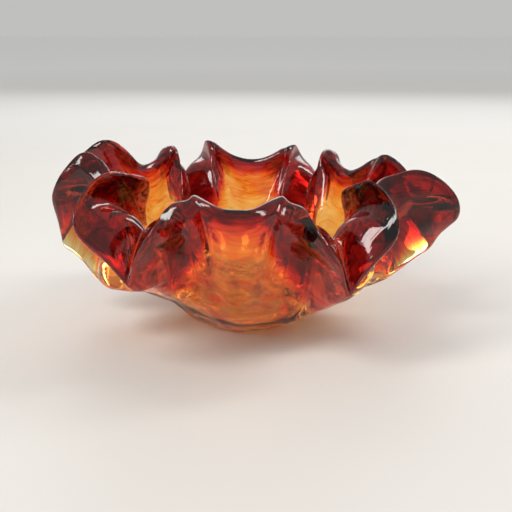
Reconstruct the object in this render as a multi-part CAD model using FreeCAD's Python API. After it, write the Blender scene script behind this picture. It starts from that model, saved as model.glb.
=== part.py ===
"""Art glass bowl: six petal lobes with curled tips, and six drooping spouts between them.

Units are millimetres. +Z is up. The origin is the centre of the round foot, on the table.
The front of the bowl faces -Y.

The bowl is one skin. The skin starts at the edge of the flat foot, climbs the outside of the
wall, rolls over the lip and comes down the inside to the flat floor. It is a smooth surface
through upright profiles, called columns, that repeat in every lobe and mirror about its
middle: spout, trough side, curl, curl top, shoulder, tip, brow and middle. The bowl is then
parted on lines of that same skin into the clear base, the amber body, six ruby lobes and six
ruby spouts, so each piece fits its neighbours face to face, as fused glass does.
"""

import FreeCAD, Part
import math
import os

# Driving dimensions
FOOT_RADIUS = 24.0
PONTIL_RADIUS = 16.5
PONTIL_DEPTH = 1.2
FLOOR_RADIUS = 14.0
FLOOR_HEIGHT = 10.0
FRONT_LOBE_AZIMUTH = -92.3
LOBE_STEP = 60.0

# Rows of the skin, counted from the foot up the outside, over the lip and down the inside
FOOT_ROW = 0.0
BASE_OUTER_ROW = 1.0
BODY_OUTER_ROW = 5.0
LIP_ROW = 8.0
BODY_INNER_ROW = 12.5
BASE_INNER_ROW = 16.0
FLOOR_ROW = 17.0

# Each column lists, row by row: radius from the axis, angle from the lobe's middle, height.
# The outside is above the blank line, then the lip, then the inside.
SPOUT = [
    (FOOT_RADIUS, 30.0, 0.0),
    (31.0, 30.0, 2.6),
    (43.0, 30.0, 8.5),
    (58.0, 30.0, 17.0),
    (70.0, 30.0, 24.5),
    (79.0, 30.0, 30.5),
    (84.5, 30.0, 34.2),

    (87.6, 30.0, 36.5),
    (88.4, 30.0, 38.5),
    (87.2, 30.0, 41.0),

    (83.3, 30.0, 47.8),
    (76.0, 30.0, 57.0),
    (69.0, 30.0, 51.0),
    (63.5, 30.0, 38.0),
    (54.0, 30.0, 24.0),
    (38.0, 30.0, 13.0),
    (26.0, 30.0, 10.6),
    (FLOOR_RADIUS, 30.0, FLOOR_HEIGHT),
]
TROUGH_SIDE = [
    (FOOT_RADIUS, 25.7, 0.0),
    (31.0, 25.7, 2.7),
    (43.0, 25.7, 8.9),
    (57.0, 25.8, 18.3),
    (68.5, 25.9, 27.5),
    (77.0, 26.0, 35.5),
    (86.5, 26.0, 42.5),

    (92.2, 26.0, 46.5),
    (94.3, 26.0, 49.8),
    (92.8, 26.0, 53.5),

    (86.6, 26.0, 60.0),
    (76.2, 26.0, 62.3),
    (67.8, 26.0, 53.0),
    (62.3, 25.9, 40.0),
    (53.3, 25.8, 24.5),
    (38.0, 25.7, 13.0),
    (26.0, 25.7, 10.6),
    (FLOOR_RADIUS, 25.7, FLOOR_HEIGHT),
]
CURL_TOP = [
    (FOOT_RADIUS, 17.1, 0.0),
    (31.0, 17.1, 2.8),
    (42.8, 17.1, 9.6),
    (55.0, 17.1, 20.5),
    (62.0, 17.2, 34.3),
    (69.5, 16.8, 49.5),
    (80.0, 16.4, 61.5),

    (86.8, 16.6, 69.5),
    (88.8, 18.0, 74.6),
    (86.2, 19.4, 78.0),

    (80.0, 19.7, 76.0),
    (73.5, 19.1, 67.0),
    (65.5, 18.2, 57.0),
    (58.5, 17.3, 44.0),
    (50.5, 17.1, 26.3),
    (37.5, 17.1, 13.0),
    (26.0, 17.1, 10.6),
    (FLOOR_RADIUS, 17.1, FLOOR_HEIGHT),
]
SHOULDER = [
    (FOOT_RADIUS, 12.9, 0.0),
    (31.0, 12.9, 2.8),
    (42.8, 12.9, 9.6),
    (55.2, 13.0, 20.5),
    (61.8, 13.4, 34.0),
    (66.6, 13.6, 49.3),
    (74.4, 14.2, 62.5),

    (79.0, 15.2, 71.8),
    (78.5, 16.8, 77.2),
    (75.5, 18.4, 79.2),

    (72.0, 18.8, 76.0),
    (69.0, 17.8, 67.5),
    (63.5, 16.0, 57.0),
    (57.5, 14.5, 44.0),
    (50.0, 13.3, 26.5),
    (37.2, 12.9, 13.0),
    (26.0, 12.9, 10.6),
    (FLOOR_RADIUS, 12.9, FLOOR_HEIGHT),
]
TIP = [
    (FOOT_RADIUS, 8.6, 0.0),
    (31.0, 8.6, 2.8),
    (42.8, 8.6, 9.5),
    (55.6, 8.8, 20.3),
    (61.8, 9.3, 33.5),
    (63.4, 10.5, 48.0),
    (67.6, 11.6, 61.0),

    (71.0, 13.6, 70.0),
    (68.0, 15.4, 74.5),
    (64.0, 16.8, 74.0),

    (63.2, 16.4, 69.0),
    (63.8, 15.0, 63.0),
    (60.8, 12.8, 54.5),
    (56.5, 10.5, 43.0),
    (49.6, 9.3, 26.3),
    (37.0, 8.7, 12.8),
    (26.0, 8.6, 10.6),
    (FLOOR_RADIUS, 8.6, FLOOR_HEIGHT),
]
BROW = [
    (FOOT_RADIUS, 4.3, 0.0),
    (31.0, 4.3, 2.7),
    (43.0, 4.3, 9.2),
    (56.4, 4.4, 19.8),
    (64.2, 4.7, 32.3),
    (65.6, 5.3, 45.0),
    (66.8, 6.6, 56.5),

    (67.4, 7.9, 63.5),
    (65.4, 8.2, 68.2),
    (62.0, 8.2, 68.6),

    (61.0, 7.9, 64.5),
    (60.2, 7.0, 58.5),
    (58.8, 6.1, 50.5),
    (56.6, 5.3, 40.5),
    (50.0, 4.7, 25.7),
    (37.0, 4.4, 12.6),
    (26.0, 4.3, 10.6),
    (FLOOR_RADIUS, 4.3, FLOOR_HEIGHT),
]
MIDDLE = [
    (FOOT_RADIUS, 0.0, 0.0),
    (31.0, 0.0, 2.6),
    (43.0, 0.0, 8.9),
    (57.0, 0.0, 19.4),
    (65.0, 0.0, 32.0),
    (66.0, 0.0, 43.8),
    (67.0, 0.0, 54.5),

    (67.2, 0.0, 61.0),
    (65.0, 0.0, 65.4),
    (62.0, 0.0, 66.0),

    (60.4, 0.0, 62.0),
    (59.9, 0.0, 56.0),
    (59.0, 0.0, 48.5),
    (57.0, 0.0, 38.8),
    (50.4, 0.0, 25.0),
    (37.0, 0.0, 12.5),
    (26.0, 0.0, 10.6),
    (FLOOR_RADIUS, 0.0, FLOOR_HEIGHT),
]
# The curl column stands in one upright plane, because the lobes and spouts part on it.
# It lists the radius and the height; the plane runs between the two plan points below.
CURL = [
    (FOOT_RADIUS, 0.0),
    (31.0, 2.8),
    (43.0, 9.4),
    (55.5, 19.8),
    (64.5, 32.0),
    (73.0, 44.5),
    (86.5, 54.0),

    (96.0, 57.5),
    (99.0, 61.5),
    (96.5, 66.0),

    (87.5, 67.5),
    (75.0, 63.5),
    (65.5, 54.0),
    (59.5, 42.0),
    (51.5, 25.5),
    (37.5, 13.0),
    (26.0, 10.6),
    (FLOOR_RADIUS, FLOOR_HEIGHT),
]
CURL_PLAN_FROM = (FLOOR_RADIUS, 21.4)
CURL_PLAN_TO = (99.0, 20.0)

# How much of each shift the rows take, from the foot up the outside, over the lip and down
# to the floor: the heel just above the foot, the belly of the wall, and the rim
HEEL_SHARE = [0.0, 0.25, 1.0, 0.55] + [0.0] * 14
BELLY_SHARE = [0.0, 0.0, 0.15, 0.6, 1.0, 0.35] + [0.0] * 12
RIM_SHARE = [0.0, 0.0, 0.0, 0.1, 0.4, 0.75, 0.95, 1.0, 1.0, 1.0, 1.0, 0.95, 0.75, 0.5, 0.25, 0.0, 0.0, 0.0]

# Hand work leaves no two lobes alike. A shift of the wall is (outward reach, lift), and a
# shift of the rim is (outward reach, lift, turn towards the spout). A lobe has a shift for
# its heel, its belly and its middle, and then for its clockwise side and its
# counter-clockwise side one each for the curl, the curl's top, the shoulder and the tip.
# The lobes go counter-clockwise from the front.
LOBES = {
    "front": {
        "heel": (0.0, 0.5), "belly": (0.0, 0.0), "middle": (0.0, 0.0, 0.0),
        "clockwise": ((-6.0, -1.0, 0.0), (-8.0, -7.5, 0.0), (-6.0, -8.0, -1.5), (-1.0, -2.5, -1.0)),
        "counter": ((-5.0, -2.5, 0.0), (-7.0, -9.0, 0.0), (-6.0, -9.0, -1.5), (-1.0, -3.0, -1.5)),
    },
    "front_right": {
        "heel": (0.0, 1.5), "belly": (1.0, -2.0), "middle": (0.0, 0.0, 0.0),
        "clockwise": ((-2.0, 0.0, 0.0), (-2.0, -1.0, 0.0), (-2.0, -2.5, 0.0), (-2.0, -3.0, 0.0)),
        "counter": ((0.0, -4.0, 0.0), (-1.0, -4.5, 0.0), (-3.0, -5.5, 0.0), (-1.0, -4.0, 0.0)),
    },
    "back_right": {
        "heel": (0.0, 0.0), "belly": (0.0, 0.0), "middle": (-4.0, 0.5, 0.0),
        "clockwise": ((-13.0, -3.0, 0.0), (-14.0, -3.0, -1.0), (-9.0, -3.5, -2.0), (-2.0, -1.0, -2.0)),
        "counter": ((-20.0, -2.0, 3.0), (-17.0, -5.5, 3.2), (-10.0, -5.5, 3.0), (-4.0, -1.0, 1.2)),
    },
    "back": {
        "heel": (0.0, 0.0), "belly": (0.0, 0.0), "middle": (0.0, 0.0, 0.0),
        "clockwise": ((-12.0, 0.0, 0.0), (-11.0, -5.0, 0.0), (-8.0, -6.5, -1.0), (-1.5, -3.0, -0.5)),
        "counter": ((-12.0, 0.0, 0.0), (-11.0, -3.0, 0.0), (-7.0, -3.5, -1.0), (-1.0, 0.0, 0.0)),
    },
    "back_left": {
        "heel": (0.0, 4.0), "belly": (2.0, 0.0), "middle": (-2.0, 2.5, 0.0),
        "clockwise": ((-20.0, 0.0, 3.0), (-17.0, -5.0, 3.6), (-10.0, -4.0, 3.6), (-3.0, 0.5, 2.0)),
        "counter": ((-11.0, 4.0, 0.0), (-9.0, 1.5, 0.0), (-5.0, 3.5, -1.0), (-1.0, 6.0, -1.0)),
    },
    "front_left": {
        "heel": (0.0, 8.0), "belly": (8.0, -4.0), "middle": (0.0, 1.0, 0.0),
        "clockwise": ((-10.0, 1.0, 0.0), (-9.0, 1.5, 0.0), (-5.0, 1.5, 0.0), (0.0, 2.0, 0.0)),
        "counter": ((0.0, 1.0, 0.0), (0.0, 1.0, 0.0), (-2.5, 0.5, 0.5), (-5.5, 0.5, 1.5)),
    },
}
# A spout has one shift each for its heel, its keel and its toe. They go the same way round,
# from the spout after the front lobe.
SPOUTS = {
    "front_right": {"heel": (0.0, 0.5), "keel": (0.0, 0.5), "toe": (0.5, -1.5, 0.0)},
    "right": {"heel": (0.0, -1.0), "keel": (0.0, -3.5), "toe": (-0.5, -3.0, 0.0)},
    "back_right": {"heel": (0.0, 0.0), "keel": (0.0, 0.0), "toe": (0.0, 0.0, 0.0)},
    "back_left": {"heel": (0.0, 2.0), "keel": (0.0, 2.0), "toe": (0.0, 0.0, 0.0)},
    "left": {"heel": (0.0, 1.0), "keel": (1.0, -8.0), "toe": (0.0, -3.5, 0.0)},
    "front_left": {"heel": (0.0, 5.0), "keel": (0.0, 8.0), "toe": (-1.0, 1.0, 0.0)},
}

OUT = "parts"


def placed(radius, angle, height, azimuth):
    """A point of the skin from its radius, its angle inside the lobe and its height."""
    turn = math.radians(azimuth + angle)
    return FreeCAD.Vector(radius * math.cos(turn), radius * math.sin(turn), height)


def shifted(row, radius, height, heel, belly, rim):
    """The radius and height of one row after the shifts of the heel, belly and rim."""
    shares = (HEEL_SHARE[row], BELLY_SHARE[row], RIM_SHARE[row])
    for share, shift in zip(shares, (heel, belly, rim)):
        radius += shift[0] * share
        height += shift[1] * share
    return radius, height


def plain_column(profile, azimuth, side, shifts):
    """One column of the skin, from its profile and its (heel, belly, rim) shifts."""
    points = []
    for row, (radius, angle, height) in enumerate(profile):
        radius, height = shifted(row, radius, height, *shifts)
        angle += shifts[2][2] * RIM_SHARE[row]
        points.append(placed(radius, side * angle, height, azimuth))
    return points


def curl_column(azimuth, side, shifts):
    """The column at the widest part of a curl, kept in one upright plane."""
    start = placed(CURL_PLAN_FROM[0], side * CURL_PLAN_FROM[1], 0.0, azimuth)
    end = placed(CURL_PLAN_TO[0], side * (CURL_PLAN_TO[1] + shifts[2][2]), 0.0, azimuth)
    reach = CURL_PLAN_TO[0] - CURL_PLAN_FROM[0]
    points = []
    for row, (radius, height) in enumerate(CURL):
        radius, height = shifted(row, radius, height, *shifts)
        point = start + (end - start) * ((radius - CURL_PLAN_FROM[0]) / reach)
        point.z = height
        points.append(point)
    return points


def blend(first, second, part=0.5):
    """A shift part of the way from the first to the second."""
    return tuple(one + (other - one) * part for one, other in zip(first, second))


def lobe_half(azimuth, side, lobe, work, spout):
    """Columns of half a lobe, from beside its middle to beside the spout."""
    curl, top, shoulder, tip = work
    heel, belly = lobe["heel"], lobe["belly"]
    curl_heel, curl_belly = blend(heel, spout["heel"]), blend(belly, spout["keel"])
    side_heel, side_belly = blend(heel, spout["heel"], 0.8), blend(belly, spout["keel"], 0.8)
    return [
        plain_column(BROW, azimuth, side, (heel, belly, blend(lobe["middle"], tip))),
        plain_column(TIP, azimuth, side, (heel, blend(belly, curl_belly, 0.3), tip)),
        plain_column(SHOULDER, azimuth, side, (heel, blend(belly, curl_belly, 0.5), shoulder)),
        plain_column(CURL_TOP, azimuth, side, (blend(heel, curl_heel), blend(belly, curl_belly, 0.7), top)),
        curl_column(azimuth, side, (curl_heel, curl_belly, curl)),
        plain_column(TROUGH_SIDE, azimuth, side, (side_heel, side_belly, blend(curl, spout["toe"]))),
    ]


def all_columns():
    """Every column once around, starting on the front lobe's clockwise curl."""
    lobes = list(LOBES.values())
    spouts = list(SPOUTS.values())
    columns = []
    for index, lobe in enumerate(lobes):
        azimuth = FRONT_LOBE_AZIMUTH + LOBE_STEP * index
        before, after = spouts[index - 1], spouts[index]
        clockwise = lobe_half(azimuth, -1.0, lobe, lobe["clockwise"], before)
        counter = lobe_half(azimuth, 1.0, lobe, lobe["counter"], after)
        columns += reversed(clockwise)
        columns.append(plain_column(MIDDLE, azimuth, 1.0, (lobe["heel"], lobe["belly"], lobe["middle"])))
        columns += counter
        columns.append(plain_column(SPOUT, azimuth, 1.0, (after["heel"], after["keel"], after["toe"])))
    # The first column is beside the spout before the front lobe; the round starts at the curl.
    return columns[1:] + columns[:1]


def poles_through(points, closed):
    """Poles of the even cubic spline that passes through the points.

    A closed spline repeats; an open one is straight at its two ends.
    """
    count = len(points)
    poles = [FreeCAD.Vector(point) for point in points]
    inside = range(count) if closed else range(1, count - 1)
    for _ in range(40):
        for i in inside:
            beside = poles[i - 1] + poles[(i + 1) % count]
            poles[i] = (points[i] * 6.0 - beside) * 0.25
    if closed:
        return poles
    first = points[0] + (poles[1] - points[0]) * (1.0 / 3.0)
    last = points[-1] + (poles[-2] - points[-1]) * (1.0 / 3.0)
    return [poles[0], first] + poles[1:-1] + [last, poles[-1]]


def make_skin(columns):
    """The bowl's skin: u counts columns around the bowl and v counts rows over it."""
    rows = len(columns[0])
    along = [poles_through(column, False) for column in columns]
    net = []
    for row in range(rows + 2):
        net.append(poles_through([column[row] for column in along], True))
    poles = [[net[row][column] for row in range(rows + 2)] for column in range(len(columns))]
    # A periodic cubic's first knot sits at its second pole, so the first column goes last.
    poles = poles[-1:] + poles[:-1]
    u_knots = [float(i) for i in range(len(columns) + 1)]
    v_knots = [float(i) for i in range(rows)]
    v_mults = [4] + [1] * (rows - 2) + [4]
    skin = Part.BSplineSurface()
    skin.buildFromPolesMultsKnots(poles, [1] * len(u_knots), v_mults, u_knots, v_knots, True, False, 3, 3)
    return skin


COLUMNS = all_columns()
SKIN = make_skin(COLUMNS)
AROUND = len(COLUMNS)
PER_LOBE = AROUND // len(LOBES)
LOBE_SPAN = 10

# The span of columns that each lobe and each spout covers
LOBE_SPANS = {}
SPOUT_SPANS = {}
for number, (lobe_name, spout_name) in enumerate(zip(LOBES, SPOUTS)):
    begin = number * PER_LOBE
    LOBE_SPANS[lobe_name] = (begin, begin + LOBE_SPAN)
    SPOUT_SPANS[spout_name] = (begin + LOBE_SPAN, begin + PER_LOBE)
ALL_SPANS = sorted(list(LOBE_SPANS.values()) + list(SPOUT_SPANS.values()))


def skin_face(span, rows):
    """The patch of skin over a span of columns and a run of rows."""
    patch = SKIN.copy()
    patch.segment(float(span[0]), float(span[1]), rows[0], rows[1])
    return patch.toShape()


def row_edge(span, row):
    """The line of the skin along one row, over a span of columns."""
    return SKIN.vIso(row).toShape(float(span[0]), float(span[1]))


def seam_face(span, outer_row, inner_row):
    """The face through the glass from a row outside to a row inside."""
    return Part.makeRuledSurface(row_edge(span, outer_row), row_edge(span, inner_row))


def cut_face(column, outer_row, inner_row):
    """The flat upright face through the lip, where a lobe meets a spout."""
    profile = SKIN.uIso(float(column % AROUND)).toShape(outer_row, inner_row)
    ends = [vertex.Point for vertex in profile.Vertexes]
    chord = Part.makeLine(ends[0], ends[-1])
    return Part.Face(Part.Wire([profile, chord]))


def solid_from(faces):
    """Sews faces that meet edge to edge into one solid."""
    shell = Part.Shell(faces)
    shell.sewShape()
    solid = Part.Solid(shell)
    if solid.Volume < 0.0:
        solid.reverse()
    return solid


def rim_piece(span):
    """A lobe or a spout: everything above the body, over a span of columns."""
    return solid_from([
        skin_face(span, (BODY_OUTER_ROW, BODY_INNER_ROW)),
        seam_face(span, BODY_OUTER_ROW, BODY_INNER_ROW),
        cut_face(span[0], BODY_OUTER_ROW, BODY_INNER_ROW),
        cut_face(span[1], BODY_OUTER_ROW, BODY_INNER_ROW),
    ])


def amber_body():
    """The ring of wall between the clear base and the ruby rim."""
    faces = []
    for span in ALL_SPANS:
        faces.append(skin_face(span, (BASE_OUTER_ROW, BODY_OUTER_ROW)))
        faces.append(skin_face(span, (BODY_INNER_ROW, BASE_INNER_ROW)))
        faces.append(seam_face(span, BASE_OUTER_ROW, BASE_INNER_ROW))
        faces.append(seam_face(span, BODY_OUTER_ROW, BODY_INNER_ROW))
    return solid_from(faces)


def pontil_ball():
    """The ball that cuts the shallow ground and polished dish in the underside of the foot."""
    ball_radius = (PONTIL_RADIUS ** 2 + PONTIL_DEPTH ** 2) / (2.0 * PONTIL_DEPTH)
    return Part.makeSphere(ball_radius, FreeCAD.Vector(0.0, 0.0, PONTIL_DEPTH - ball_radius))


def clear_base():
    """The thick heel of glass: flat foot with its dish below and flat floor above."""
    faces = []
    for span in ALL_SPANS:
        faces.append(skin_face(span, (FOOT_ROW, BASE_OUTER_ROW)))
        faces.append(skin_face(span, (BASE_INNER_ROW, FLOOR_ROW)))
        faces.append(seam_face(span, BASE_OUTER_ROW, BASE_INNER_ROW))
    for row in (FOOT_ROW, FLOOR_ROW):
        faces.append(Part.Face(Part.Wire([row_edge(span, row) for span in ALL_SPANS])))
    return solid_from(faces).cut(pontil_ball()).Solids[0]


pieces = {"clear_base": clear_base(), "amber_body": amber_body()}
for name, span in LOBE_SPANS.items():
    pieces["ruby_lobe_" + name] = rim_piece(span)
for name, span in SPOUT_SPANS.items():
    pieces["ruby_spout_" + name] = rim_piece(span)

os.makedirs(OUT, exist_ok=True)
for name, shape in pieces.items():
    print(name, "valid", shape.isValid(), "closed", shape.isClosed(), "volume", round(shape.Volume, 1))
    shape.exportStep(OUT + "/" + name + ".step")
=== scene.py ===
"""Looks of the art glass bowl: fused clear, amber and ruby glass, worked hot at the rim.

The glass is one skin, from the foot up the outside, over the lip and down to the floor. It
runs through the same upright columns as the solid parts, closely sampled and with the small
waves of hand work, and it is divided on the same lines, so every glass piece stands for one
solid part. Where glass is fused to glass there is no surface, so a piece has none there.
"""

import math

import bpy
import numpy as np
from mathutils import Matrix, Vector


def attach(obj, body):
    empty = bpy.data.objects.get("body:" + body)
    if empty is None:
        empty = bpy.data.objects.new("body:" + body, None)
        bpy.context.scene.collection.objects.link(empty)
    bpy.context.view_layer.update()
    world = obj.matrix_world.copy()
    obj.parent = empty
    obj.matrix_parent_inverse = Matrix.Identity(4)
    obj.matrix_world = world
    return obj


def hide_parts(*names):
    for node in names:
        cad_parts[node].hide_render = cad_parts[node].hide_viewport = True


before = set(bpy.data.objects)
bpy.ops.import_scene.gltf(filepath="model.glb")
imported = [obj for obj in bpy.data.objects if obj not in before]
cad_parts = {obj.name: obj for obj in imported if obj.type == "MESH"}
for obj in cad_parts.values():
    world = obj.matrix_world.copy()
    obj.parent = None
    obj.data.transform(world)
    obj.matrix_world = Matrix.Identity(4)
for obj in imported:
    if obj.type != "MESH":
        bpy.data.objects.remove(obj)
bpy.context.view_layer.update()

MM = 0.001

FOOT_RADIUS = 24.0
PONTIL_RADIUS = 16.5
PONTIL_DEPTH = 1.2
FLOOR_RADIUS = 14.0
FLOOR_HEIGHT = 10.0
FRONT_LOBE_AZIMUTH = -92.3
LOBE_STEP = 60.0

BASE_OUTER_ROW = 1.0
BODY_OUTER_ROW = 5.0
LIP_ROW = 8.0
BODY_INNER_ROW = 12.5
BASE_INNER_ROW = 16.0
FLOOR_ROW = 17.0

SPOUT = [
    (FOOT_RADIUS, 30.0, 0.0),
    (31.0, 30.0, 2.6),
    (43.0, 30.0, 8.5),
    (58.0, 30.0, 17.0),
    (70.0, 30.0, 24.5),
    (79.0, 30.0, 30.5),
    (84.5, 30.0, 34.2),

    (87.6, 30.0, 36.5),
    (88.4, 30.0, 38.5),
    (87.2, 30.0, 41.0),

    (83.3, 30.0, 47.8),
    (76.0, 30.0, 57.0),
    (69.0, 30.0, 51.0),
    (63.5, 30.0, 38.0),
    (54.0, 30.0, 24.0),
    (38.0, 30.0, 13.0),
    (26.0, 30.0, 10.6),
    (FLOOR_RADIUS, 30.0, FLOOR_HEIGHT),
]
TROUGH_SIDE = [
    (FOOT_RADIUS, 25.7, 0.0),
    (31.0, 25.7, 2.7),
    (43.0, 25.7, 8.9),
    (57.0, 25.8, 18.3),
    (68.5, 25.9, 27.5),
    (77.0, 26.0, 35.5),
    (86.5, 26.0, 42.5),

    (92.2, 26.0, 46.5),
    (94.3, 26.0, 49.8),
    (92.8, 26.0, 53.5),

    (86.6, 26.0, 60.0),
    (76.2, 26.0, 62.3),
    (67.8, 26.0, 53.0),
    (62.3, 25.9, 40.0),
    (53.3, 25.8, 24.5),
    (38.0, 25.7, 13.0),
    (26.0, 25.7, 10.6),
    (FLOOR_RADIUS, 25.7, FLOOR_HEIGHT),
]
CURL_TOP = [
    (FOOT_RADIUS, 17.1, 0.0),
    (31.0, 17.1, 2.8),
    (42.8, 17.1, 9.6),
    (55.0, 17.1, 20.5),
    (62.0, 17.2, 34.3),
    (69.5, 16.8, 49.5),
    (80.0, 16.4, 61.5),

    (86.8, 16.6, 69.5),
    (88.8, 18.0, 74.6),
    (86.2, 19.4, 78.0),

    (80.0, 19.7, 76.0),
    (73.5, 19.1, 67.0),
    (65.5, 18.2, 57.0),
    (58.5, 17.3, 44.0),
    (50.5, 17.1, 26.3),
    (37.5, 17.1, 13.0),
    (26.0, 17.1, 10.6),
    (FLOOR_RADIUS, 17.1, FLOOR_HEIGHT),
]
SHOULDER = [
    (FOOT_RADIUS, 12.9, 0.0),
    (31.0, 12.9, 2.8),
    (42.8, 12.9, 9.6),
    (55.2, 13.0, 20.5),
    (61.8, 13.4, 34.0),
    (66.6, 13.6, 49.3),
    (74.4, 14.2, 62.5),

    (79.0, 15.2, 71.8),
    (78.5, 16.8, 77.2),
    (75.5, 18.4, 79.2),

    (72.0, 18.8, 76.0),
    (69.0, 17.8, 67.5),
    (63.5, 16.0, 57.0),
    (57.5, 14.5, 44.0),
    (50.0, 13.3, 26.5),
    (37.2, 12.9, 13.0),
    (26.0, 12.9, 10.6),
    (FLOOR_RADIUS, 12.9, FLOOR_HEIGHT),
]
TIP = [
    (FOOT_RADIUS, 8.6, 0.0),
    (31.0, 8.6, 2.8),
    (42.8, 8.6, 9.5),
    (55.6, 8.8, 20.3),
    (61.8, 9.3, 33.5),
    (63.4, 10.5, 48.0),
    (67.6, 11.6, 61.0),

    (71.0, 13.6, 70.0),
    (68.0, 15.4, 74.5),
    (64.0, 16.8, 74.0),

    (63.2, 16.4, 69.0),
    (63.8, 15.0, 63.0),
    (60.8, 12.8, 54.5),
    (56.5, 10.5, 43.0),
    (49.6, 9.3, 26.3),
    (37.0, 8.7, 12.8),
    (26.0, 8.6, 10.6),
    (FLOOR_RADIUS, 8.6, FLOOR_HEIGHT),
]
BROW = [
    (FOOT_RADIUS, 4.3, 0.0),
    (31.0, 4.3, 2.7),
    (43.0, 4.3, 9.2),
    (56.4, 4.4, 19.8),
    (64.2, 4.7, 32.3),
    (65.6, 5.3, 45.0),
    (66.8, 6.6, 56.5),

    (67.4, 7.9, 63.5),
    (65.4, 8.2, 68.2),
    (62.0, 8.2, 68.6),

    (61.0, 7.9, 64.5),
    (60.2, 7.0, 58.5),
    (58.8, 6.1, 50.5),
    (56.6, 5.3, 40.5),
    (50.0, 4.7, 25.7),
    (37.0, 4.4, 12.6),
    (26.0, 4.3, 10.6),
    (FLOOR_RADIUS, 4.3, FLOOR_HEIGHT),
]
MIDDLE = [
    (FOOT_RADIUS, 0.0, 0.0),
    (31.0, 0.0, 2.6),
    (43.0, 0.0, 8.9),
    (57.0, 0.0, 19.4),
    (65.0, 0.0, 32.0),
    (66.0, 0.0, 43.8),
    (67.0, 0.0, 54.5),

    (67.2, 0.0, 61.0),
    (65.0, 0.0, 65.4),
    (62.0, 0.0, 66.0),

    (60.4, 0.0, 62.0),
    (59.9, 0.0, 56.0),
    (59.0, 0.0, 48.5),
    (57.0, 0.0, 38.8),
    (50.4, 0.0, 25.0),
    (37.0, 0.0, 12.5),
    (26.0, 0.0, 10.6),
    (FLOOR_RADIUS, 0.0, FLOOR_HEIGHT),
]
# The curl column stands in one upright plane, because the lobes and spouts part on it.
# It lists the radius and the height; the plane runs between the two plan points below.
CURL = [
    (FOOT_RADIUS, 0.0),
    (31.0, 2.8),
    (43.0, 9.4),
    (55.5, 19.8),
    (64.5, 32.0),
    (73.0, 44.5),
    (86.5, 54.0),

    (96.0, 57.5),
    (99.0, 61.5),
    (96.5, 66.0),

    (87.5, 67.5),
    (75.0, 63.5),
    (65.5, 54.0),
    (59.5, 42.0),
    (51.5, 25.5),
    (37.5, 13.0),
    (26.0, 10.6),
    (FLOOR_RADIUS, FLOOR_HEIGHT),
]
CURL_PLAN_FROM = (FLOOR_RADIUS, 21.4)
CURL_PLAN_TO = (99.0, 20.0)

# How much of each shift the rows take, from the foot up the outside, over the lip and down
# to the floor: the heel just above the foot, the belly of the wall, and the rim
HEEL_SHARE = [0.0, 0.25, 1.0, 0.55] + [0.0] * 14
BELLY_SHARE = [0.0, 0.0, 0.15, 0.6, 1.0, 0.35] + [0.0] * 12
RIM_SHARE = [0.0, 0.0, 0.0, 0.1, 0.4, 0.75, 0.95] + [1.0] * 4 + [0.95, 0.75, 0.5, 0.25, 0.0, 0.0, 0.0]

# Hand work leaves no two lobes alike. A shift of the wall is (outward reach, lift), and a
# shift of the rim is (outward reach, lift, turn towards the spout). A lobe has a shift for
# its heel, its belly and its middle, and then for its clockwise side and its
# counter-clockwise side one each for the curl, the curl's top, the shoulder and the tip.
# The lobes go counter-clockwise from the front.
LOBES = {
    "front": {
        "heel": (0.0, 0.5), "belly": (0.0, 0.0), "middle": (0.0, 0.0, 0.0),
        "clockwise": ((-6.0, -1.0, 0.0), (-8.0, -7.5, 0.0), (-6.0, -8.0, -1.5), (-1.0, -2.5, -1.0)),
        "counter": ((-5.0, -2.5, 0.0), (-7.0, -9.0, 0.0), (-6.0, -9.0, -1.5), (-1.0, -3.0, -1.5)),
    },
    "front_right": {
        "heel": (0.0, 1.5), "belly": (1.0, -2.0), "middle": (0.0, 0.0, 0.0),
        "clockwise": ((-2.0, 0.0, 0.0), (-2.0, -1.0, 0.0), (-2.0, -2.5, 0.0), (-2.0, -3.0, 0.0)),
        "counter": ((0.0, -4.0, 0.0), (-1.0, -4.5, 0.0), (-3.0, -5.5, 0.0), (-1.0, -4.0, 0.0)),
    },
    "back_right": {
        "heel": (0.0, 0.0), "belly": (0.0, 0.0), "middle": (-4.0, 0.5, 0.0),
        "clockwise": ((-13.0, -3.0, 0.0), (-14.0, -3.0, -1.0), (-9.0, -3.5, -2.0), (-2.0, -1.0, -2.0)),
        "counter": ((-20.0, -2.0, 3.0), (-17.0, -5.5, 3.2), (-10.0, -5.5, 3.0), (-4.0, -1.0, 1.2)),
    },
    "back": {
        "heel": (0.0, 0.0), "belly": (0.0, 0.0), "middle": (0.0, 0.0, 0.0),
        "clockwise": ((-12.0, 0.0, 0.0), (-11.0, -5.0, 0.0), (-8.0, -6.5, -1.0), (-1.5, -3.0, -0.5)),
        "counter": ((-12.0, 0.0, 0.0), (-11.0, -3.0, 0.0), (-7.0, -3.5, -1.0), (-1.0, 0.0, 0.0)),
    },
    "back_left": {
        "heel": (0.0, 4.0), "belly": (2.0, 0.0), "middle": (-2.0, 2.5, 0.0),
        "clockwise": ((-20.0, 0.0, 3.0), (-17.0, -5.0, 3.6), (-10.0, -4.0, 3.6), (-3.0, 0.5, 2.0)),
        "counter": ((-11.0, 4.0, 0.0), (-9.0, 1.5, 0.0), (-5.0, 3.5, -1.0), (-1.0, 6.0, -1.0)),
    },
    "front_left": {
        "heel": (0.0, 8.0), "belly": (8.0, -4.0), "middle": (0.0, 1.0, 0.0),
        "clockwise": ((-10.0, 1.0, 0.0), (-9.0, 1.5, 0.0), (-5.0, 1.5, 0.0), (0.0, 2.0, 0.0)),
        "counter": ((0.0, 1.0, 0.0), (0.0, 1.0, 0.0), (-2.5, 0.5, 0.5), (-5.5, 0.5, 1.5)),
    },
}
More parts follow.
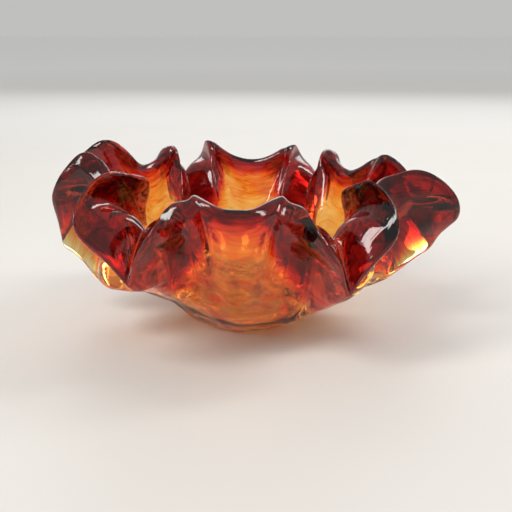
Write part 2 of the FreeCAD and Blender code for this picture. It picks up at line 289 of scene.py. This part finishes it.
# A spout has one shift each for its heel, its keel and its toe. They go the same way round,
# from the spout after the front lobe.
SPOUTS = {
    "front_right": {"heel": (0.0, 0.5), "keel": (0.0, 0.5), "toe": (0.5, -1.5, 0.0)},
    "right": {"heel": (0.0, -1.0), "keel": (0.0, -3.5), "toe": (-0.5, -3.0, 0.0)},
    "back_right": {"heel": (0.0, 0.0), "keel": (0.0, 0.0), "toe": (0.0, 0.0, 0.0)},
    "back_left": {"heel": (0.0, 2.0), "keel": (0.0, 2.0), "toe": (0.0, 0.0, 0.0)},
    "left": {"heel": (0.0, 1.0), "keel": (1.0, -8.0), "toe": (0.0, -3.5, 0.0)},
    "front_left": {"heel": (0.0, 5.0), "keel": (0.0, 8.0), "toe": (-1.0, 1.0, 0.0)},
}
PER_COLUMN = 8
PER_ROW = 8
LOBE_SPAN = 10
PER_LOBE = 14


# ---------------------------------------------------------------- the skin

def placed(radius, angle, height, azimuth):
    turn = math.radians(azimuth + angle)
    return [radius * math.cos(turn), radius * math.sin(turn), height]


def shifted(row, radius, height, heel, belly, rim):
    shares = (HEEL_SHARE[row], BELLY_SHARE[row], RIM_SHARE[row])
    for share, shift in zip(shares, (heel, belly, rim)):
        radius += shift[0] * share
        height += shift[1] * share
    return radius, height


def plain_column(profile, azimuth, side, shifts):
    points = []
    for row, (radius, angle, height) in enumerate(profile):
        radius, height = shifted(row, radius, height, *shifts)
        angle += shifts[2][2] * RIM_SHARE[row]
        points.append(placed(radius, side * angle, height, azimuth))
    return points


def curl_column(azimuth, side, shifts):
    start = np.array(placed(CURL_PLAN_FROM[0], side * CURL_PLAN_FROM[1], 0.0, azimuth))
    end = np.array(placed(CURL_PLAN_TO[0], side * (CURL_PLAN_TO[1] + shifts[2][2]), 0.0, azimuth))
    reach = CURL_PLAN_TO[0] - CURL_PLAN_FROM[0]
    points = []
    for row, (radius, height) in enumerate(CURL):
        radius, height = shifted(row, radius, height, *shifts)
        point = start + (end - start) * ((radius - CURL_PLAN_FROM[0]) / reach)
        points.append([point[0], point[1], height])
    return points


def blend(first, second, part=0.5):
    return tuple(one + (other - one) * part for one, other in zip(first, second))


def lobe_half(azimuth, side, lobe, work, spout):
    curl, top, shoulder, tip = work
    heel, belly = lobe["heel"], lobe["belly"]
    curl_heel, curl_belly = blend(heel, spout["heel"]), blend(belly, spout["keel"])
    side_heel, side_belly = blend(heel, spout["heel"], 0.8), blend(belly, spout["keel"], 0.8)
    top_shifts = (blend(heel, curl_heel), blend(belly, curl_belly, 0.7), top)
    return [
        plain_column(BROW, azimuth, side, (heel, belly, blend(lobe["middle"], tip))),
        plain_column(TIP, azimuth, side, (heel, blend(belly, curl_belly, 0.3), tip)),
        plain_column(SHOULDER, azimuth, side, (heel, blend(belly, curl_belly, 0.5), shoulder)),
        plain_column(CURL_TOP, azimuth, side, top_shifts),
        curl_column(azimuth, side, (curl_heel, curl_belly, curl)),
        plain_column(TROUGH_SIDE, azimuth, side, (side_heel, side_belly, blend(curl, spout["toe"]))),
    ]


def all_columns():
    lobes = list(LOBES.values())
    spouts = list(SPOUTS.values())
    columns = []
    for index, lobe in enumerate(lobes):
        azimuth = FRONT_LOBE_AZIMUTH + LOBE_STEP * index
        before, after = spouts[index - 1], spouts[index]
        clockwise = lobe_half(azimuth, -1.0, lobe, lobe["clockwise"], before)
        counter = lobe_half(azimuth, 1.0, lobe, lobe["counter"], after)
        middle_shifts = (lobe["heel"], lobe["belly"], lobe["middle"])
        spout_shifts = (after["heel"], after["keel"], after["toe"])
        columns += reversed(clockwise)
        columns.append(plain_column(MIDDLE, azimuth, 1.0, middle_shifts))
        columns += counter
        columns.append(plain_column(SPOUT, azimuth, 1.0, spout_shifts))
    return np.array(columns[1:] + columns[:1])


def poles_through(points, closed):
    """Poles of the even cubic spline through the points, along the first axis."""
    count = len(points)
    system = np.zeros((count, count))
    for i in range(count):
        if not closed and i in (0, count - 1):
            system[i, i] = 6.0
        else:
            system[i, i] = 4.0
            system[i, (i - 1) % count] += 1.0
            system[i, (i + 1) % count] += 1.0
    return np.linalg.solve(system, 6.0 * points.reshape(count, -1)).reshape(points.shape)


def weights(places, count, closed):
    """Cubic weights of every pole at every place along the spline."""
    table = np.zeros((len(places), count if closed else count + 2))
    for i, place in enumerate(places):
        cell = int(place) if closed else min(int(place), count - 2)
        t = place - cell
        four = ((1 - t) ** 3, 3 * t ** 3 - 6 * t ** 2 + 4, -3 * t ** 3 + 3 * t ** 2 + 3 * t + 1, t ** 3)
        for j, weight in enumerate(four):
            table[i, (cell - 1 + j) % count if closed else cell + j] += weight / 6.0
    return table


def skin_grid():
    """The skin's points in metres, [around][over], and the column and row of each."""
    columns = all_columns()
    net = poles_through(columns, True)
    net = np.swapaxes(poles_through(np.swapaxes(net, 0, 1), False), 0, 1)
    net = np.concatenate([2 * net[:, :1] - net[:, 1:2], net, 2 * net[:, -1:] - net[:, -2:-1]], axis=1)
    around = np.arange(len(columns) * PER_COLUMN) / PER_COLUMN
    over = np.arange((columns.shape[1] - 1) * PER_ROW + 1) / PER_ROW
    by_column = weights(around, len(columns), True)
    by_row = weights(over, columns.shape[1], False)
    grid = np.einsum("ia,abk,jb->ijk", by_column, net, by_row)
    return grid * MM, around, over


def grid_normals(grid):
    """Outward unit normals of the skin."""
    along = np.roll(grid, -1, axis=0) - np.roll(grid, 1, axis=0)
    across = np.empty_like(grid)
    across[:, 1:-1] = grid[:, 2:] - grid[:, :-2]
    across[:, 0] = grid[:, 1] - grid[:, 0]
    across[:, -1] = grid[:, -1] - grid[:, -2]
    normals = np.cross(along, across)
    return normals / (np.linalg.norm(normals, axis=2, keepdims=True) + 1e-12)


def hand_waves(grid, normals, over):
    """The soft unevenness of glass worked hot: slow swells and faint tooling waves."""
    x, y, z = (grid[..., k] / MM for k in range(3))
    swell = np.sin(x * 0.11 + 0.8 * np.sin(z * 0.13)) * np.sin(y * 0.10 + 1.3 + 0.6 * np.sin(x * 0.07))
    tooling = np.sin(x * 0.31 + z * 0.23 + 2.0 * swell) * np.sin(y * 0.29 - z * 0.19 + 1.1)
    free = np.clip(over / 1.5, 0.0, 1.0) * np.clip((FLOOR_ROW - over) / 1.5, 0.0, 1.0)
    on_wall = np.clip(1.0 - np.abs(over - 3.6) / 2.6, 0.0, 1.0)
    turn = np.arctan2(y, x)
    drift = 1.3 * np.sin(5.0 * turn + 0.7) + 0.9 * np.sin(9.0 * turn + 2.0)
    ripple = np.sin(5.2 * over[None, :] + drift) + 0.6 * np.sin(8.7 * over[None, :] - 1.4 * drift + 1.0)
    depth = (0.35 * swell + 0.14 * tooling) * free[None, :] + 0.16 * ripple * on_wall[None, :]
    depth = depth * MM
    return grid + normals * depth[..., None]


GRID, AROUND, OVER = skin_grid()
GRID = hand_waves(GRID, grid_normals(GRID), OVER)
NORMALS = grid_normals(GRID)
COUNT_AROUND = len(AROUND)


def eased(value, low, high):
    """0 below low, 1 above high, and a smooth rise between."""
    part = np.clip((value - low) / (high - low), 0.0, 1.0)
    return part * part * (3.0 - 2.0 * part)


# The steps from the middle of a lobe, 0, over brow, tip, shoulder, curl top, curl and trough
# side, to the keel of a spout, 7
STEPS = np.arange(8)
MIDDLE_COLUMN = 5.0
STEP = np.abs((AROUND % PER_LOBE) - MIDDLE_COLUMN)
STEP = np.minimum(STEP, PER_LOBE - STEP)
# The rows between which ruby comes in up the outside and dies out down the inside
RUBY_FROM = np.interp(STEP, STEPS, [6.0, 5.9, 5.8, 5.2, 4.5, 3.8, 3.2, 2.8])[:, None]
RUBY_FULL = np.interp(STEP, STEPS, [7.9, 7.6, 6.8, 6.2, 5.5, 4.9, 4.4, 4.0])[:, None]
RUBY_FADES = np.interp(STEP, STEPS, [9.3, 9.5, 10.2, 11.0, 11.8, 12.3, 12.5, 12.5])[:, None]
RUBY_GONE = np.interp(STEP, STEPS, [12.8, 12.9, 13.1, 13.4, 13.7, 14.0, 14.2, 14.2])[:, None]
# The two side spouts are left clear at their toes
SIDE_SPOUTS = np.isin((AROUND // PER_LOBE).astype(int), [1, 4])
CLEAR_TOE = (SIDE_SPOUTS * eased(STEP, 5.0, 6.8))[:, None]

# How deep the colour is: 0 in clear glass, about 0.5 in the amber outside, 0.3 in the amber
# inside and 1 in the darkest ruby
RUBY_DEPTH = 0.90
OUTSIDE = (OVER < LIP_ROW)[None, :]
AMBER_OUTSIDE = 0.58 - 0.10 * eased(OVER, 0.5, 3.0)[None, :]
AMBER_INSIDE = 0.06 + 0.25 * eased(-OVER, -15.8, -12.5)[None, :]
RUBY_OUTSIDE = eased(OVER[None, :], RUBY_FROM, RUBY_FULL)
RUBY_INSIDE = eased(-OVER[None, :], -RUBY_GONE, -RUBY_FADES)
DEPTH = np.where(
    OUTSIDE,
    AMBER_OUTSIDE + (RUBY_DEPTH - AMBER_OUTSIDE) * RUBY_OUTSIDE,
    AMBER_INSIDE + (RUBY_DEPTH - AMBER_INSIDE) * RUBY_INSIDE,
)
# darkest along the lip itself
DEPTH = DEPTH + 0.08 * eased(-np.abs(OVER - LIP_ROW), -1.4, -0.2)[None, :]
NEAR_TOE = eased(-np.abs(OVER - 5.5), -4.0, -2.0)[None, :]
DEPTH = DEPTH - CLEAR_TOE * np.clip(DEPTH - 0.15, 0.0, 1.0) * NEAR_TOE
# Places along the flow of the glass, which runs round the bowl and joins up with itself
FLOW_ROUND = 3.2
FLOW_OVER = 1.7
# The part of its edge's colour depth that the middle of a flat disc keeps
DISC_MIDDLE = 0.35


# ---------------------------------------------------------------- the glass

class Tree:
    """Short calls for building a material's nodes."""

    def __init__(self, name):
        self.material = bpy.data.materials.new(name)
        self.material.use_nodes = True
        self.nodes = self.material.node_tree.nodes
        self.links = self.material.node_tree.links
        self.shader = self.nodes["Principled BSDF"]

    def add(self, kind, **values):
        node = self.nodes.new(kind)
        for key, value in values.items():
            setattr(node, key, value)
        return node

    def feed(self, socket, value):
        if isinstance(value, bpy.types.NodeSocket):
            self.links.new(value, socket)
        else:
            socket.default_value = value

    def math(self, operation, first, second=0.0, clamp=False):
        node = self.add("ShaderNodeMath", operation=operation, use_clamp=clamp)
        self.feed(node.inputs[0], first)
        self.feed(node.inputs[1], second)
        return node.outputs[0]

    def attribute(self, name):
        return self.add("ShaderNodeAttribute", attribute_name=name).outputs["Fac"]

    def noise(self, vector, scale, detail=2.0, distortion=0.0):
        node = self.add("ShaderNodeTexNoise")
        self.feed(node.inputs["Vector"], vector)
        node.inputs["Scale"].default_value = scale
        node.inputs["Detail"].default_value = detail
        node.inputs["Distortion"].default_value = distortion
        return node.outputs["Fac"]

    def ramp(self, factor, stops):
        node = self.add("ShaderNodeValToRGB")
        self.feed(node.inputs["Fac"], factor)
        elements = node.color_ramp.elements
        while len(elements) < len(stops):
            elements.new(0.5)
        for element, (place, colour) in zip(elements, stops):
            element.position = place
            element.color = (*colour, 1.0)
        return node.outputs["Color"]

    def mix(self, factor, first, second):
        node = self.add("ShaderNodeMix", data_type="RGBA")
        self.feed(node.inputs["Factor"], factor)
        self.feed(node.inputs[6], first)
        self.feed(node.inputs[7], second)
        return node.outputs[2]


def glass_material(name):
    """Fused glass: pale heel and floor, amber wall, ruby rim, streaked along its flow."""
    tree = Tree(name)
    place = tree.add("ShaderNodeTexCoord").outputs["Object"]
    depth = tree.attribute("depth")
    flow = tree.add("ShaderNodeAttribute", attribute_name="flow").outputs["Vector"]
    streaks = tree.noise(flow, 1.1, 3.0, 0.9)
    swirls = tree.noise(place, 36.0, 2.0, 1.6)
    # the ruby deepens and thins along the streaks, and amber swirls up into it
    push = tree.math("ADD", tree.math("MULTIPLY", tree.math("SUBTRACT", swirls, 0.5), 0.28),
                     tree.math("MULTIPLY", tree.math("SUBTRACT", streaks, 0.5), 0.50))
    # thin redder lines where one gather of glass was folded over another
    folds = tree.noise(flow, 0.9, 1.0, 0.7)
    off_fold = tree.math("ABSOLUTE", tree.math("SUBTRACT", folds, 0.5))
    fold = tree.math("SUBTRACT", 1.0, tree.math("MULTIPLY", off_fold, 26.0), clamp=True)
    level = tree.math("ADD", tree.math("ADD", depth, push), tree.math("MULTIPLY", fold, 0.15))
    colour = tree.ramp(level, [
        (0.00, (0.99, 0.95, 0.78)),
        (0.14, (0.99, 0.88, 0.56)),
        (0.28, (0.98, 0.66, 0.20)),
        (0.42, (0.94, 0.35, 0.045)),
        (0.56, (0.90, 0.17, 0.013)),
        (0.70, (0.72, 0.030, 0.007)),
        (0.84, (0.38, 0.006, 0.004)),
        (1.00, (0.11, 0.002, 0.002)),
    ])
    tree.feed(tree.shader.inputs["Base Color"], colour)
    tree.shader.inputs["Transmission Weight"].default_value = 1.0
    tree.shader.inputs["IOR"].default_value = 1.5
    rough = tree.math("MULTIPLY", tree.noise(place, 160.0, 2.0), 0.05)
    tree.feed(tree.shader.inputs["Roughness"], rough)
    bump = tree.add("ShaderNodeBump")
    bump.inputs["Strength"].default_value = 0.12
    bump.inputs["Distance"].default_value = 0.0008
    tree.feed(bump.inputs["Height"], tree.noise(flow, 2.4, 2.0, 0.6))
    tree.feed(tree.shader.inputs["Normal"], bump.outputs["Normal"])
    return tree.material


GLASS = {
    "clear_glass": glass_material("clear_glass"),
    "amber_glass": glass_material("amber_glass"),
    "ruby_glass": glass_material("ruby_glass"),
}


class Patchwork:
    """Gathers patches of the skin and flat discs into one mesh."""

    def __init__(self):
        self.points, self.faces, self.normals = [], [], []
        self.depths, self.flows = [], []

    def mark(self, depth, column, row, reach=1.0):
        turn = 2.0 * math.pi * column / COUNT_AROUND
        self.depths.append(float(depth))
        round_bowl = FLOW_ROUND * reach
        self.flows += [round_bowl * math.cos(turn), round_bowl * math.sin(turn), FLOW_OVER * row]

    def add_patch(self, columns, rows):
        """The skin over a run of sampled columns and rows, both ends included."""
        start = len(self.points)
        wide = len(rows)
        for i in columns:
            for j in rows:
                self.points.append(GRID[i % COUNT_AROUND, j])
                self.normals.append(NORMALS[i % COUNT_AROUND, j])
                self.mark(DEPTH[i % COUNT_AROUND, j], i, OVER[j])
        for a in range(len(columns) - 1):
            for b in range(wide - 1):
                corner = start + a * wide + b
                self.faces.append((corner, corner + wide, corner + wide + 1, corner + 1))

    def add_ring(self, inner, outer, up):
        """A band between two closed rows of points, facing up or down, paler to its middle."""
        start = len(self.points)
        count = len(inner)
        facing = (0.0, 0.0, 1.0 if up else -1.0)
        edge, row = (FLOOR_RADIUS, -1) if up else (FOOT_RADIUS, 0)
        for ring in (inner, outer):
            for i, point in enumerate(ring):
                self.points.append(point)
                self.normals.append(facing)
                reach = math.hypot(point[0], point[1]) / (edge * MM)
                paler = DISC_MIDDLE + (1.0 - DISC_MIDDLE) * reach
                self.mark(DEPTH[i, row] * paler, i, OVER[row], reach)
        for i in range(count):
            j = (i + 1) % count
            quad = (start + i, start + count + i, start + count + j, start + j)
            self.faces.append(quad if up else quad[::-1])

    def mesh(self, name):
        mesh = bpy.data.meshes.new(name)
        mesh.from_pydata([tuple(p) for p in self.points], [], self.faces)
        mesh.polygons.foreach_set("use_smooth", [True] * len(mesh.polygons))
        mesh.attributes.new("depth", "FLOAT", "POINT").data.foreach_set("value", self.depths)
        mesh.attributes.new("flow", "FLOAT_VECTOR", "POINT").data.foreach_set("vector", self.flows)
        mesh.update()
        mesh.normals_split_custom_set_from_vertices([tuple(n) for n in self.normals])
        return mesh


def rows_between(first, last):
    return list(range(int(round(first * PER_ROW)), int(round(last * PER_ROW)) + 1))


def columns_between(first, last):
    return list(range(int(round(first * PER_COLUMN)), int(round(last * PER_COLUMN)) + 1))


def show(name, patchwork, node, finish):
    piece = bpy.data.objects.new(name, patchwork.mesh(name))
    bpy.context.scene.collection.objects.link(piece)
    piece.data.materials.append(GLASS[finish])
    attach(piece, "root")
    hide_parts(node)
    return piece


def disc_rings(rim, centre_height, bow, steps):
    """Rings from a rim point row in to a small ring about the axis, bowed by a dish depth."""
    rings = []
    for step in range(steps + 1):
        part = 1.0 - step / (steps + 0.15)
        ring = rim * np.array([part, part, 1.0])
        ring[:, 2] = centre_height + bow * (1.0 - part * part)
        rings.append(ring)
    return rings


def build_glass():
    whole = columns_between(0, len(LOBES) * PER_LOBE)
    base = Patchwork()
    base.add_patch(whole, rows_between(0, BASE_OUTER_ROW))
    base.add_patch(whole, rows_between(BASE_INNER_ROW, FLOOR_ROW))
    foot = GRID[:, 0]
    turn = np.arctan2(foot[:, 1], foot[:, 0])
    pontil = np.stack([np.cos(turn), np.sin(turn), 0 * turn], axis=1) * PONTIL_RADIUS * MM
    base.add_ring(pontil, foot, False)
    dish = disc_rings(pontil, 0.0, PONTIL_DEPTH * MM, 10)
    for outer, inner in zip(dish, dish[1:]):
        base.add_ring(inner, outer, False)
    floor = disc_rings(GRID[:, -1], FLOOR_HEIGHT * MM, 0.0, 8)
    for outer, inner in zip(floor, floor[1:]):
        base.add_ring(inner, outer, True)
    show("glass_base", base, "clear_base", "clear_glass")

    body = Patchwork()
    body.add_patch(whole, rows_between(BASE_OUTER_ROW, BODY_OUTER_ROW))
    body.add_patch(whole, rows_between(BODY_INNER_ROW, BASE_INNER_ROW))
    show("glass_body", body, "amber_body", "amber_glass")

    rim_rows = rows_between(BODY_OUTER_ROW, BODY_INNER_ROW)
    for index, (lobe, spout) in enumerate(zip(LOBES, SPOUTS)):
        begin = index * PER_LOBE
        petal = Patchwork()
        petal.add_patch(columns_between(begin, begin + LOBE_SPAN), rim_rows)
        show("glass_lobe_" + lobe, petal, "ruby_lobe_" + lobe, "ruby_glass")
        trough = Patchwork()
        trough.add_patch(columns_between(begin + LOBE_SPAN, begin + PER_LOBE), rim_rows)
        show("glass_spout_" + spout, trough, "ruby_spout_" + spout, "ruby_glass")


build_glass()


# ---------------------------------------------------------------- floor, light and camera

# Half the width of the studio floor, and how far it lies under the foot so that the two
# flat faces don't fall together
STUDIO_HALF = 8.0
STUDIO_DROP = 0.00015


def build_floor():
    mesh = bpy.data.meshes.new("studio_floor")
    turns = ((-1, -1), (1, -1), (1, 1), (-1, 1))
    corners = [(STUDIO_HALF * x, STUDIO_HALF * y, -STUDIO_DROP) for x, y in turns]
    mesh.from_pydata(corners, [], [(0, 1, 2, 3)])
    floor = bpy.data.objects.new("studio_floor", mesh)
    bpy.context.scene.collection.objects.link(floor)
    tree = Tree("studio_floor")
    place = tree.add("ShaderNodeTexCoord").outputs["Object"]
    # painted light: paler with distance from the bowl, making up for the lamp light that falls off away
    # from the lamps, so that it meets the pale surroundings softly
    away = tree.add("ShaderNodeVectorMath", operation="LENGTH")
    tree.feed(away.inputs[0], place)
    painted_light_far = tree.math("SUBTRACT", tree.math("MULTIPLY", away.outputs["Value"], 0.5), 0.2, clamp=True)
    near_tone = tree.ramp(tree.noise(place, 3.0, 2.0), [
        (0.3, (0.66, 0.64, 0.61)),
        (0.7, (0.70, 0.68, 0.65)),
    ])
    tone = tree.mix(painted_light_far, near_tone, (0.96, 0.96, 0.95, 1.0))
    tree.feed(tree.shader.inputs["Base Color"], tone)
    tree.shader.inputs["Roughness"].default_value = 0.55
    mesh.materials.append(tree.material)


def soft_light(name, place, aim, size, watts, colour):
    data = bpy.data.lights.new(name, "AREA")
    data.shape = "RECTANGLE"
    data.size, data.size_y = size
    data.energy = watts
    data.color = colour
    lamp = bpy.data.objects.new(name, data)
    lamp.location = place
    lamp.rotation_euler = (Vector(aim) - Vector(place)).to_track_quat("-Z", "Y").to_euler()
    bpy.context.scene.collection.objects.link(lamp)


def build_studio():
    build_floor()
    middle = (0.0, 0.0, 0.04)
    soft_light("window", (-0.75, -0.55, 0.85), middle, (0.30, 0.9), 11.0, (1.0, 0.98, 0.95))
    soft_light("fill", (0.9, 0.2, 0.7), middle, (0.2, 0.7), 5.0, (1.0, 0.97, 0.93))
    soft_light("back", (0.1, 1.1, 0.6), middle, (1.2, 0.4), 4.0, (1.0, 1.0, 1.0))
    world = bpy.data.worlds.new("studio")
    world.use_nodes = True
    background = world.node_tree.nodes["Background"]
    background.inputs["Color"].default_value = (0.81, 0.81, 0.80, 1.0)
    background.inputs["Strength"].default_value = 0.65
    bpy.context.scene.world = world
    bpy.context.scene.view_settings.view_transform = "Standard"


def build_camera():
    data = bpy.data.cameras.new("camera")
    data.sensor_width = 36.0
    data.lens = 56.25
    data.shift_x = 0.0215
    data.shift_y = 0.1113
    data.dof.use_dof = False
    camera = bpy.data.objects.new("camera", data)
    tilt = math.radians(20.0)
    distance = 0.40
    camera.location = (0.0, -distance * math.cos(tilt), distance * math.sin(tilt))
    camera.rotation_euler = (math.pi / 2.0 - tilt, 0.0, 0.0)
    bpy.context.scene.collection.objects.link(camera)
    bpy.context.scene.camera = camera


build_studio()
build_camera()
